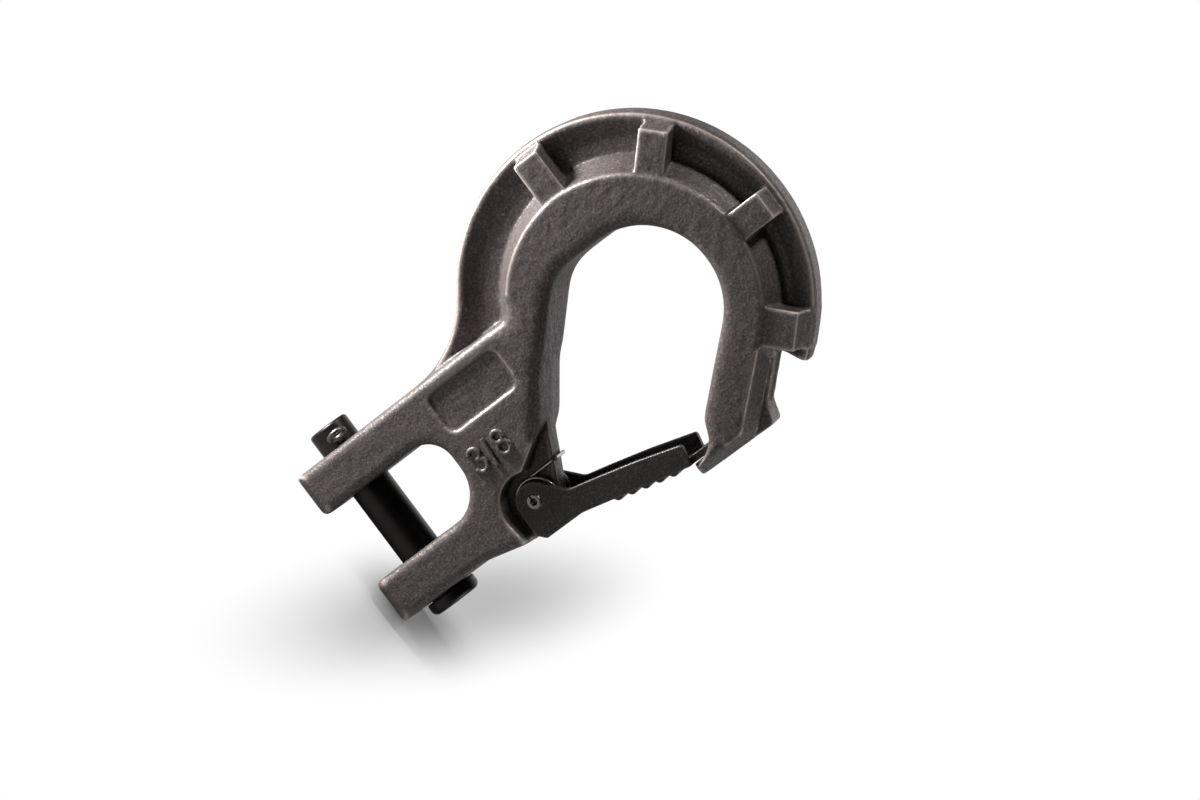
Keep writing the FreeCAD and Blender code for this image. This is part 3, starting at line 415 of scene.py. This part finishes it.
def with_ribs(mesh, sizes):
    """The mesh with a level-topped block laid over each rib of the bow."""
    top = sizes.rib_thick / 2
    foot = sizes.rim_thick / 2
    work = bmesh.new()
    work.from_mesh(mesh)
    for angle in RIB_ANGLES:
        out = spoke(angle)
        width = sizes.last_rib if angle == RIB_ANGLES[-1] else sizes.rib
        along = Vector((-out.z, 0, out.x)) * width / 2
        end = sizes.rim_crest - out.dot(RING - RIM)
        # The rib's section: distances from the ring's centre, each with its height over the middle.
        half = [(sizes.rib_start, top), (end - sizes.rib_slant, top), (end, foot)]
        section = half + [(reach, -high) for reach, high in reversed(half)]
        rims = [[work.verts.new(RING + out * reach + along * side + Vector((0, high, 0)))
                 for reach, high in section] for side in (-1, 1)]
        work.faces.new(rims[0])
        work.faces.new(reversed(rims[1]))
        for corner in range(len(section)):
            before = corner - 1
            work.faces.new((rims[0][before], rims[1][before], rims[1][corner], rims[0][corner]))
    bmesh.ops.recalc_face_normals(work, faces=work.faces)
    work.to_mesh(mesh)
    work.free()
    return mesh


def thinned(mesh, keep):
    """The mesh with only that share of its faces kept."""
    return evaluated(mesh, [("DECIMATE", {"decimate_type": "COLLAPSE", "ratio": keep})])


def face_edges(mesh):
    """Points along the sharp edges between the flat faces and deep walls, with their share.

    The share says how far an edge is rounded: fully round the throat, less elsewhere.
    """
    outermost = cad_box[1].y - FACE_GAP
    work = bmesh.new()
    work.from_mesh(mesh)
    points = []
    for edge in work.edges:
        if len(edge.link_faces) != 2 or edge.calc_face_angle() < EDGE_ANGLE:
            continue
        flat, wall = sorted(edge.link_faces, key=lambda face: -abs(face.normal.y))
        depths = [vertex.co.y for vertex in wall.verts]
        first, last = (vertex.co for vertex in edge.verts)
        centre = (first + last) / 2
        if abs(flat.normal.y) < FACE_LEVEL or abs(centre.y) < outermost:
            continue
        if max(depths) - min(depths) < WALL_DEPTH:
            continue
        inner = wall.normal.dot(THROAT - Vector((centre.x, 0, centre.z))) > 0
        share = 1.0 if inner and (centre - PIVOT).length > SEAT_REACH else OUTER_SHARE
        steps = max(1, round((last - first).length / MM))
        points += [(first.lerp(last, (step + 0.5) / steps), share) for step in range(steps)]
    work.free()
    return points


def rounded(mesh, points, reach, rounds):
    """The mesh smoothed many times within reach of the points, which rounds the edges there.

    The smoothing is full to half the reach and fades out from there.
    """
    tree = kdtree.KDTree(len(points))
    for index, (point, _) in enumerate(points):
        tree.insert(point, index)
    tree.balance()
    weights = []
    for vertex in mesh.vertices:
        _, index, away = tree.find(vertex.co)
        if away < reach:
            weights.append((vertex.index, points[index][1] * min(1.0, 2 - 2 * away / reach)))
    return evaluated(mesh, [smoothing(rounds, "soft")], weights)


def uneven(mesh, depth, spacing):
    """Sink the surface here and there by up to depth, at that spacing.

    The noise runs from about -1 to 1, so the dip runs from none to the whole depth.
    """
    normals = [vertex.normal.copy() for vertex in mesh.vertices]
    for vertex, normal in zip(mesh.vertices, normals):
        dip = 0.5 + 0.5 * noise.noise(vertex.co / spacing)
        vertex.co -= normal * (depth * min(1.0, max(0.0, dip)))
    mesh.update()


def paint_edge_sheen(mesh, full):
    """Fill the attribute of the painted edge sheen, from 0 to 1, from how far a point stands out.

    A point's mean rise over its neighbours is counted in shares of full. The sheen, a painted
    highlight, is then spread to the neighbours, so that it fades out.
    """
    count = len(mesh.vertices)
    rise = [0.0] * count
    near = [0] * count
    for edge in mesh.edges:
        first, last = (mesh.vertices[index] for index in edge.vertices)
        step = (first.co - last.co).normalized()
        for vertex, towards in ((first, step), (last, -step)):
            rise[vertex.index] += towards.dot(vertex.normal)
            near[vertex.index] += 1
    sheen_share = [min(1.0, max(0.0, total / max(1, number) / full - SHEEN_START))
            for total, number in zip(rise, near)]
    for _ in range(SHEEN_SPREADS):
        spread = list(sheen_share)
        for edge in mesh.edges:
            first, last = edge.vertices
            spread[first] += sheen_share[last]
            spread[last] += sheen_share[first]
        sheen_share = [total / (number + 1) for total, number in zip(spread, near)]
    layer = mesh.attributes.new("painted_sheen", "FLOAT", "POINT")
    layer.data.foreach_set("value", sheen_share)


class HOOK_OT_forging(bpy.types.Operator):
    """Forged hook body with level-topped ribs, softened edges and a slightly uneven skin"""
    bl_idname = "winch_hook.forging"
    bl_label = "Forged hook body"

    def execute(self, context):
        sizes = context.scene.hook_sizes
        colours = context.scene.hook_colours
        cad = merged("hook_body")
        edges = face_edges(cad)
        edges += [(RING_FOOT + Vector((0, corner.y, 0)), 1.0) for corner in cad_box]
        mesh = softened(with_ribs(cad, sizes), sizes.forging_grain, FORGING_ROUNDS)
        mesh = rounded(mesh, edges, sizes.throat_round, THROAT_ROUNDS)
        mesh = thinned(mesh, FORGING_KEEP)
        uneven(mesh, sizes.forging_wave, WAVE_SPACING)
        paint_edge_sheen(mesh, FORGING_SHEEN_RISE)
        # Blasted and coated forging: dark and grainy, with a painted highlight as light lines along
        # its edges.
        material = coated_steel("drop_forged_steel_blasted_and_coated", colours.coat, colours.crest_sheen,
                                grit=0.7 * MM, bumps=0.11 * MM, roughness=(0.38, 0.52))
        settle(show("forged_hook", mesh, material), "hook", "hook_body")
        return {"FINISHED"}


class HOOK_OT_size_mark(bpy.types.Operator):
    """Raised trade size on the front of the shank"""
    bl_idname = "winch_hook.size_mark"
    bl_label = "Raised trade size"

    def execute(self, context):
        sizes = context.scene.hook_sizes
        high = sizes.mark_height
        upper, lower = eight(high)
        # Each stroke: the sign it belongs to, its place towards +X, its points, and if it is closed.
        strokes = [
            (0, 1.4 * MM, three(high), False),
            (1, 1.7 * MM, slash(high), False),
            (2, 1.2 * MM, upper, True),
            (2, 1.2 * MM, lower, True)]
        # A stroke is a round tube, pressed flat to the relief and sunk to its middle in the face.
        flat = sizes.mark_raise / (sizes.mark_stroke / 2)
        face = cad_box[0].y
        work = bmesh.new()
        for sign, across, points, closed in strokes:
            along = MARK_START + sign * MARK_STEP
            stroke = tube(points, closed, sizes.mark_stroke)
            stroke.transform(Matrix((
                (0, -1, 0, across),
                (0, 0, -flat, face),
                (1, 0, 0, along),
                (0, 0, 0, 1))))
            work.from_mesh(stroke)
        mesh = bpy.data.meshes.new("size_mark")
        bmesh.ops.recalc_face_normals(work, faces=work.faces)
        work.to_mesh(mesh)
        work.free()
        mesh = softened(mesh, MARK_MESH, MARK_ROUNDS)
        settle(show("size_mark", mesh, made_material("drop_forged_steel_blasted_and_coated")),
               "hook", None)
        return {"FINISHED"}


def oval(middle, wide, high, start, turn, steps=24):
    """Points on an oval about (0, middle), from start, through turn, in degrees."""
    count = steps if turn == 360 else steps + 1
    angles = [math.radians(start + turn * step / steps) for step in range(count)]
    return [Vector((wide * math.cos(angle), middle + high * math.sin(angle), 0)) for angle in angles]


def bowls(high, wide, turns):
    """The upper and the lower bowl of a numeral.

    Wide holds half of each bowl's width, as a share of the height, and turns holds the angle at
    which each starts and how far it goes round.
    """
    middle = high * 0.235
    upper_high = high * 0.235
    lower_high = high * 0.265
    upper = oval(middle, high * wide[0], upper_high, *turns[0])
    lower = oval(-middle, high * wide[1], lower_high, *turns[1])
    return upper, lower


def three(high):
    """The points of a 3, as one open stroke."""
    upper, lower = bowls(high, (0.23, 0.27), [(160, -250), (90, -260)])
    return upper + lower


def eight(high):
    """The points of an 8, as two closed strokes."""
    return bowls(high, (0.21, 0.25), [(0, 360), (0, 360)])


def slash(high):
    """The points of the stroke between the numerals, which leans a little and is longer."""
    lean = high * 0.04
    reach = high * 0.62
    return [Vector((-lean, -reach, 0)), Vector((lean, reach, 0))]


def path(name, points, closed=False):
    """A curve that runs straight from point to point."""
    curve = bpy.data.curves.new(name, "CURVE")
    curve.dimensions = "3D"
    spline = curve.splines.new("POLY")
    spline.points.add(len(points) - 1)
    for knot, point in zip(spline.points, points):
        knot.co = (*point, 1)
    spline.use_cyclic_u = closed
    return curve


def tube(points, closed, width):
    """A mesh tube of that width along points."""
    curve = path("tube", points, closed)
    curve.bevel_depth = width / 2
    curve.bevel_resolution = STROKE_ROUNDNESS
    curve.use_fill_caps = True
    return evaluated(curve)


def dressed(name, node, material):
    """A CAD node's own mesh in a material, smooth but for its sharp edges."""
    piece = show(name, merged(node), material)
    piece.data.set_sharp_from_angle(angle=SHARP_ANGLE)
    return piece


class HOOK_OT_clevis_pin(bpy.types.Operator):
    """Turned clevis pin with its head"""
    bl_idname = "winch_hook.clevis_pin"
    bl_label = "Clevis pin"

    def execute(self, context):
        colours = context.scene.hook_colours
        # Turned and coated bar: smoother than the forging, with a long soft highlight.
        material = turned_steel("turned_steel_dark_coated", colours.pin, roughness=0.36)
        settle(dressed("turned_clevis_pin", "clevis_pin", material),
               "line_pin", "clevis_pin")
        return {"FINISHED"}


class HOOK_OT_cotter_pin(bpy.types.Operator):
    """Split cotter with its eye and bent legs"""
    bl_idname = "winch_hook.cotter_pin"
    bl_label = "Cotter pin"

    def execute(self, context):
        colours = context.scene.hook_colours
        # Half-round wire, oiled: mid grey with bright edges.
        material = drawn_wire("half_round_wire_oiled", colours.cotter, roughness=0.38)
        settle(dressed("split_cotter", "cotter_pin", material),
               "line_pin", "cotter_pin")
        return {"FINISHED"}


class HOOK_OT_latch(bpy.types.Operator):
    """Pressed latch with rounded sheet edges"""
    bl_idname = "winch_hook.latch"
    bl_label = "Latch"

    def execute(self, context):
        sizes = context.scene.hook_sizes
        colours = context.scene.hook_colours
        mesh = thinned(softened(merged("latch"), sizes.sheet_grain, LATCH_ROUNDS), LATCH_KEEP)
        paint_edge_sheen(mesh, LATCH_SHEEN_RISE)
        # Coated pressing: darker than the forging, with a finer grain and a painted highlight along
        # its edges.
        material = coated_steel("pressed_steel_dark_coated", colours.latch, colours.latch_crest_sheen,
                                grit=0.55 * MM, bumps=0.05 * MM, roughness=(0.34, 0.46))
        settle(show("pressed_latch", mesh, material), "latch_swing_arm", "latch")
        return {"FINISHED"}


class HOOK_OT_pivot_pin(bpy.types.Operator):
    """Hollow, slit pivot pin"""
    bl_idname = "winch_hook.pivot_pin"
    bl_label = "Pivot pin"

    def execute(self, context):
        colours = context.scene.hook_colours
        # Rolled spring steel: its end is a light ring with a dark bore.
        material = drawn_wire("rolled_spring_steel", colours.roll_pin, roughness=0.34)
        settle(dressed("rolled_pivot_pin", "latch_pivot_pin", material),
               "latch_swing_arm", "latch_pivot_pin")
        return {"FINISHED"}


def spring_path(sizes):
    """The spring's centre line: from one latch leg over the bridge to the other."""
    facing = math.radians(FLANK_FACING)
    away = FLANK_AWAY + sizes.wire / 2 + FLANK_GAP
    height = (away - BRIDGE_PLACE * math.cos(facing)) / math.sin(facing)
    arm = Vector((BRIDGE_PLACE, 0, height))
    layer = Vector((0, -(sizes.tongue + sizes.wire) / 2 - sizes.coil_gap, 0))
    # The wire comes off the coil along a tangent through the bridge's end.
    start = math.degrees(math.atan2(arm.z, arm.x) + math.acos(sizes.coil / arm.length))
    corner = PIVOT + arm + layer
    down = (PIVOT + layer + spoke(start, sizes.coil) - corner).normalized()
    half = []
    for step in range(BEND_STEPS + 1):
        turn = math.radians(90 * step / BEND_STEPS)
        inwards = Vector((0, BRIDGE_BEND * (1 - math.sin(turn)), 0))
        half.append(corner + inwards + down * BRIDGE_BEND * (1 - math.cos(turn)))
    for step in range(COIL_STEPS + 1):
        angle = start + (LEG_ANGLE - start) * step / COIL_STEPS
        outwards = Vector((0, -sizes.coil_pitch * (angle - start) / 360, 0))
        half.append(PIVOT + layer + spoke(angle, sizes.coil) + outwards)
    half.append(half[-1] + spoke(LEG_ANGLE + 90, sizes.spring_leg))
    mirrored = [Vector((point.x, -point.y, point.z)) for point in reversed(half)]
    return mirrored + half


def wire_tree():
    """Geometry nodes that draw a round wire along a path."""
    tree = bpy.data.node_groups.new("wire_along_path", "GeometryNodeTree")
    face = tree.interface
    face.new_socket("Geometry", in_out="INPUT", socket_type="NodeSocketGeometry")
    face.new_socket("Wire diameter", in_out="INPUT", socket_type="NodeSocketFloat")
    face.new_socket("Sides", in_out="INPUT", socket_type="NodeSocketInt")
    face.new_socket("Finish", in_out="INPUT", socket_type="NodeSocketMaterial")
    face.new_socket("Geometry", in_out="OUTPUT", socket_type="NodeSocketGeometry")
    given = add(tree, "NodeGroupInput").outputs
    half = add(tree, "ShaderNodeMath", {"operation": "DIVIDE", 1: 2.0}, {0: given["Wire diameter"]})
    section = add(tree, "GeometryNodeCurvePrimitiveCircle",
                  links={"Radius": half.outputs[0], "Resolution": given["Sides"]})
    wire = add(tree, "GeometryNodeCurveToMesh", {"Fill Caps": True},
               {"Curve": given["Geometry"], "Profile Curve": section.outputs["Curve"]})
    smooth = add(tree, "GeometryNodeSetShadeSmooth", links={"Geometry": wire.outputs["Mesh"]})
    real = add(tree, "GeometryNodeRealizeInstances", links={"Geometry": smooth.outputs["Geometry"]})
    done = add(tree, "GeometryNodeSetMaterial",
               links={"Geometry": real.outputs["Geometry"], "Material": given["Finish"]})
    add(tree, "NodeGroupOutput", links={"Geometry": done.outputs["Geometry"]})
    return tree


class HOOK_OT_latch_spring(bpy.types.Operator):
    """Double torsion spring, a wire drawn along its path by geometry nodes"""
    bl_idname = "winch_hook.latch_spring"
    bl_label = "Latch spring"

    def execute(self, context):
        sizes = context.scene.hook_sizes
        # Bright drawn wire: the lightest of the metals, with small sharp highlights.
        material = drawn_wire("drawn_spring_wire", context.scene.hook_colours.wire, roughness=0.28)
        line = bpy.data.objects.new("spring_path", path("spring_path", spring_path(sizes)))
        context.scene.collection.objects.link(line)
        modifier = line.modifiers.new("wire", "NODES")
        modifier.node_group = wire_tree()
        inputs = {item.name: item.identifier for item in modifier.node_group.interface.items_tree
                  if item.in_out == "INPUT"}
        modifier[inputs["Wire diameter"]] = sizes.wire
        modifier[inputs["Sides"]] = WIRE_SIDES
        modifier[inputs["Finish"]] = material
        graph = context.evaluated_depsgraph_get()
        mesh = bpy.data.meshes.new_from_object(line.evaluated_get(graph), depsgraph=graph)
        line.modifiers.remove(modifier)
        bpy.data.objects.remove(line)
        piece = show("torsion_spring", mesh, material)
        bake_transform(piece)
        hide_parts("latch_spring")
        return {"FINISHED"}


def floor_material(tint):
    """Pale matt floor that fades to the backdrop's white outside a slanted oval behind the pin.

    The camera alone sees that white, so it lights nothing. The grey oval is a painted shade laid
    along where the hook's shadow falls; the lamps' own shadows show within it.
    """
    middle = (0.033, 0.036, 0.0)
    # The oval's two directions. Each is as long as one over its reach in metres.
    length = (9.1, 4.2, 0.0)
    breadth = (35.0, -9.0, 0.0)
    material, tree, place = new_material("pale_matt_floor")
    seen = add(tree, "ShaderNodeLightPath").outputs["Is Camera Ray"]
    offset = add(tree, "ShaderNodeVectorMath", {"operation": "SUBTRACT", 1: middle},
                 {0: place}).outputs["Vector"]
    along = add(tree, "ShaderNodeVectorMath", {"operation": "DOT_PRODUCT", 1: length},
                {0: offset}).outputs["Value"]
    beside = add(tree, "ShaderNodeVectorMath", {"operation": "DOT_PRODUCT", 1: breadth},
                 {0: offset}).outputs["Value"]
    flat = add(tree, "ShaderNodeCombineXYZ", links={"X": along, "Y": beside}).outputs["Vector"]
    away = add(tree, "ShaderNodeVectorMath", {"operation": "LENGTH"}, {0: flat}).outputs["Value"]
    # Painted shade: grey within the oval, fading to white beyond it.
    faded = add(tree, "ShaderNodeMapRange",
                {"From Min": 0.08, "From Max": 1.05, "interpolation_type": "SMOOTHSTEP"},
                {"Value": away}).outputs["Result"]
    share = add(tree, "ShaderNodeMath", {"operation": "MULTIPLY"},
                {0: faded, 1: seen}).outputs["Value"]
    matt = add(tree, "ShaderNodeBsdfPrincipled",
               {"Base Color": tint, "Roughness": 0.35, "Specular IOR Level": 0.3}).outputs["BSDF"]
    white = add(tree, "ShaderNodeEmission",
                {"Color": (1, 1, 1, 1), "Strength": 1.0}).outputs["Emission"]
    mixed = add(tree, "ShaderNodeMixShader", links={0: share, 1: matt, 2: white}).outputs["Shader"]
    add(tree, "ShaderNodeOutputMaterial", links={"Surface": mixed})
    return material


def lamp(name, towards, strength, spread):
    """A sun lamp that stands in the direction towards, with an angular spread in degrees."""
    data = bpy.data.lights.new(name, "SUN")
    data.energy = strength
    data.angle = math.radians(spread)
    rig = bpy.data.objects.new(name, data)
    rig.rotation_mode = "QUATERNION"
    rig.rotation_quaternion = Vector(towards).to_track_quat("Z", "Y")
    bpy.context.scene.collection.objects.link(rig)


def near_lamp(name, spot, width, power):
    """A square lamp at that spot, turned to the throat, that no camera sees."""
    data = bpy.data.lights.new(name, "AREA")
    data.size = width
    data.energy = power
    rig = bpy.data.objects.new(name, data)
    rig.location = spot
    rig.rotation_mode = "QUATERNION"
    rig.rotation_quaternion = (spot - THROAT).to_track_quat("Z", "Y")
    rig.visible_camera = False
    bpy.context.scene.collection.objects.link(rig)


def studio_floor(tint):
    """A square floor at the object's lowest point."""
    low = cad_box[0].z
    mesh = bpy.data.meshes.new("studio_floor")
    mesh.from_pydata([(-FLOOR_REACH, -FLOOR_REACH, low), (FLOOR_REACH, -FLOOR_REACH, low),
                      (FLOOR_REACH, FLOOR_REACH, low), (-FLOOR_REACH, FLOOR_REACH, low)],
                     [], [(0, 1, 2, 3)])
    return show("studio_floor", mesh, floor_material(tint))


def studio_world():
    """A dim sky that the camera sees as white, brighter low down on the side of -X."""
    dark_side = (1.0, 0.15, 0.55)
    world = bpy.data.worlds.new("studio")
    world.use_nodes = True
    tree = world.node_tree
    tree.nodes.clear()
    place = add(tree, "ShaderNodeTexCoord").outputs["Generated"]
    slope = add(tree, "ShaderNodeVectorMath", {"operation": "DOT_PRODUCT", 1: dark_side},
                {0: place}).outputs["Value"]
    bright = add(tree, "ShaderNodeMapRange",
                 {"From Min": 0.5, "From Max": -0.8, "To Min": 0.01, "To Max": 0.07,
                  "interpolation_type": "SMOOTHSTEP"}, {"Value": slope}).outputs["Result"]
    sky = add(tree, "ShaderNodeBackground", {"Color": (1, 1, 1, 1)},
              {"Strength": bright}).outputs["Background"]
    white = add(tree, "ShaderNodeBackground",
                {"Color": (1, 1, 1, 1), "Strength": 1.0}).outputs["Background"]
    seen = add(tree, "ShaderNodeLightPath").outputs["Is Camera Ray"]
    mixed = add(tree, "ShaderNodeMixShader", links={0: seen, 1: sky, 2: white}).outputs["Shader"]
    add(tree, "ShaderNodeOutputWorld", links={"Surface": mixed})
    return world


def photograph_camera():
    """A camera that looks down by CAMERA_TILT and rolls until +X runs to the lower right."""
    data = bpy.data.cameras.new("camera")
    data.lens = 100
    data.sensor_width = 36
    data.clip_end = 50
    camera = bpy.data.objects.new("camera", data)
    tilt = math.radians(CAMERA_TILT)
    back = Vector((0, -math.cos(tilt), math.sin(tilt)))
    rise = Vector((0, math.sin(tilt), math.cos(tilt)))
    # The cosine and the sine of the roll.
    level, steep = 0.6, 0.8
    right = Vector((level, 0, 0)) + rise * steep
    up = Vector((-steep, 0, 0)) + rise * level
    spot = CAMERA_AIM + back * CAMERA_AWAY
    camera.matrix_world = Matrix((
        (right.x, up.x, back.x, spot.x),
        (right.y, up.y, back.y, spot.y),
        (right.z, up.z, back.z, spot.z),
        (0, 0, 0, 1)))
    return camera


class HOOK_OT_stage(bpy.types.Operator):
    """Floor, soft lamps, sky and the camera at the photograph's angle"""
    bl_idname = "winch_hook.stage"
    bl_label = "Stage"

    def execute(self, context):
        scene = context.scene
        floor = studio_floor(scene.hook_colours.floor)
        near_lamp("key", THROAT + KEY_FROM_THROAT, width=0.05, power=2.6)
        lamp("top", towards=(-0.3, -0.02, 0.95), strength=1.9, spread=8)
        lamp("back", towards=(0.1, 0.9, 0.35), strength=0.6, spread=50)
        lamp("side", towards=(0.97, 0.15, 0.2), strength=0.8, spread=30)
        scene.world = studio_world()
        scene.view_settings.view_transform = "Standard"
        camera = photograph_camera()
        scene.collection.objects.link(camera)
        scene.camera = camera
        return {"FINISHED"}


OPERATORS = [HOOK_OT_forging, HOOK_OT_size_mark, HOOK_OT_clevis_pin, HOOK_OT_cotter_pin,
             HOOK_OT_latch, HOOK_OT_pivot_pin, HOOK_OT_latch_spring, HOOK_OT_stage]


class HOOK_PT_panel(bpy.types.Panel):
    """Lists the hook's pieces"""
    bl_label = "Winch hook"
    bl_idname = "HOOK_PT_panel"
    bl_space_type = "VIEW_3D"
    bl_region_type = "UI"
    bl_category = "Winch hook"

    def draw(self, context):
        for operator in OPERATORS:
            self.layout.operator(operator.bl_idname)


CLASSES = [HookSizes, HookColours, *OPERATORS, HOOK_PT_panel]


def register():
    for item in CLASSES:
        bpy.utils.register_class(item)
    bpy.types.Scene.hook_sizes = bpy.props.PointerProperty(type=HookSizes)
    bpy.types.Scene.hook_colours = bpy.props.PointerProperty(type=HookColours)


def unregister():
    del bpy.types.Scene.hook_colours
    del bpy.types.Scene.hook_sizes
    for item in reversed(CLASSES):
        bpy.utils.unregister_class(item)


def main():
    """Build every piece and the stage."""
    register()
    for operator in OPERATORS:
        group, name = operator.bl_idname.split(".")
        getattr(getattr(bpy.ops, group), name)()


if __name__ == "__main__":
    main()
